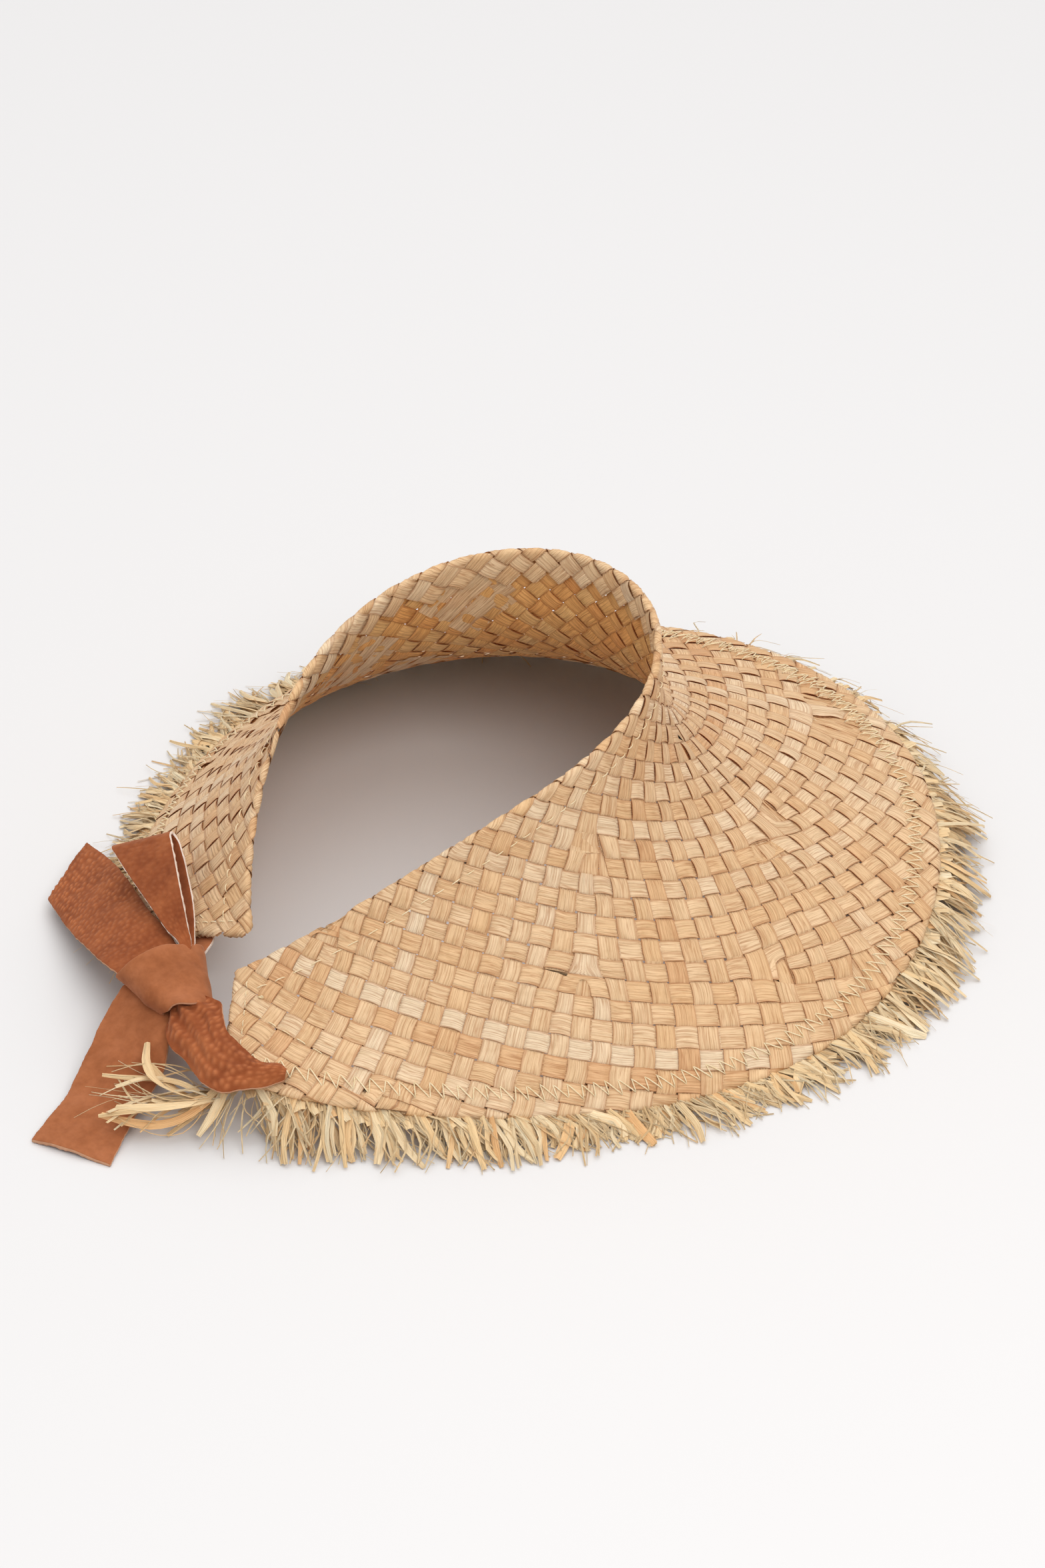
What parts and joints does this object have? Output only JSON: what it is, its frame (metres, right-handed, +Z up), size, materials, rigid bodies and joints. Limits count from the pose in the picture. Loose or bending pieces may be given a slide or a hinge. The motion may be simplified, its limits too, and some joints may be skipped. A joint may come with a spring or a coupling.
{
  "type": "straw sun visor hat",
  "caption": "Open-crown woven straw sun hat with a wide curved bill, a frayed fringe round the brim and a suede tie across its split back.",
  "frame": {"origin": "middle of the overall box, on the floor the fringe and the lower tail rest on", "axes": "+Z up as the hat stands on its brim; the bill points to -Y and the split back with its tie to +Y"},
  "size_m": [0.3809, 0.4565, 0.131],
  "materials": {
    "straw": "plaited flat straw strips, slightly glossy",
    "straw_fold": "turned-over straw strips",
    "fringe": "loose split raffia strands",
    "thread": "fine pale sewing thread",
    "suede": "soft brown pigskin suede"
  },
  "bodies": {
    "hat": {"woven_body": "straw", "crown_edge_fold": "straw_fold", "brim_edge_fold": "straw_fold", "near_end_fold": "straw_fold", "far_end_fold": "straw_fold", "crown_stitching": "thread", "brim_zigzag_stitching": "thread", "near_end_stitching": "thread", "far_end_stitching": "thread", "fringe_band": "fringe", "fringe_strands": "fringe", "fringe_tuft": "fringe", "near_strap": "suede", "near_strap_tab": "suede", "near_tab_stitching": "thread", "far_strap": "suede", "far_strap_tab": "suede", "far_tab_stitching": "thread", "knot_core": "suede", "knot_wrap": "suede"},
    "bow_loop": {"bow_loop": "suede"},
    "upper_tail": {"upper_tail": "suede"},
    "lower_tail": {"lower_tail": "suede"}
  },
  "joints": [
    {"name": "bow_loop_lift", "type": "hinge", "parent": "hat", "child": "bow_loop", "pos_m": [0.018, 0.1335, 0.0335], "axis": [-0.371, -0.715, 0.5926], "range_deg": [0, 60]},
    {"name": "upper_tail_swing", "type": "hinge", "parent": "hat", "child": "upper_tail", "pos_m": [0.028, 0.156, 0.027], "axis": [0, 0, 1], "range_deg": [0, 25]},
    {"name": "lower_tail_lift", "type": "hinge", "parent": "hat", "child": "lower_tail", "pos_m": [0.011, 0.157, 0.02], "axis": [0.9754, 0.209, -0.0697], "range_deg": [0, 60]}
  ]
}
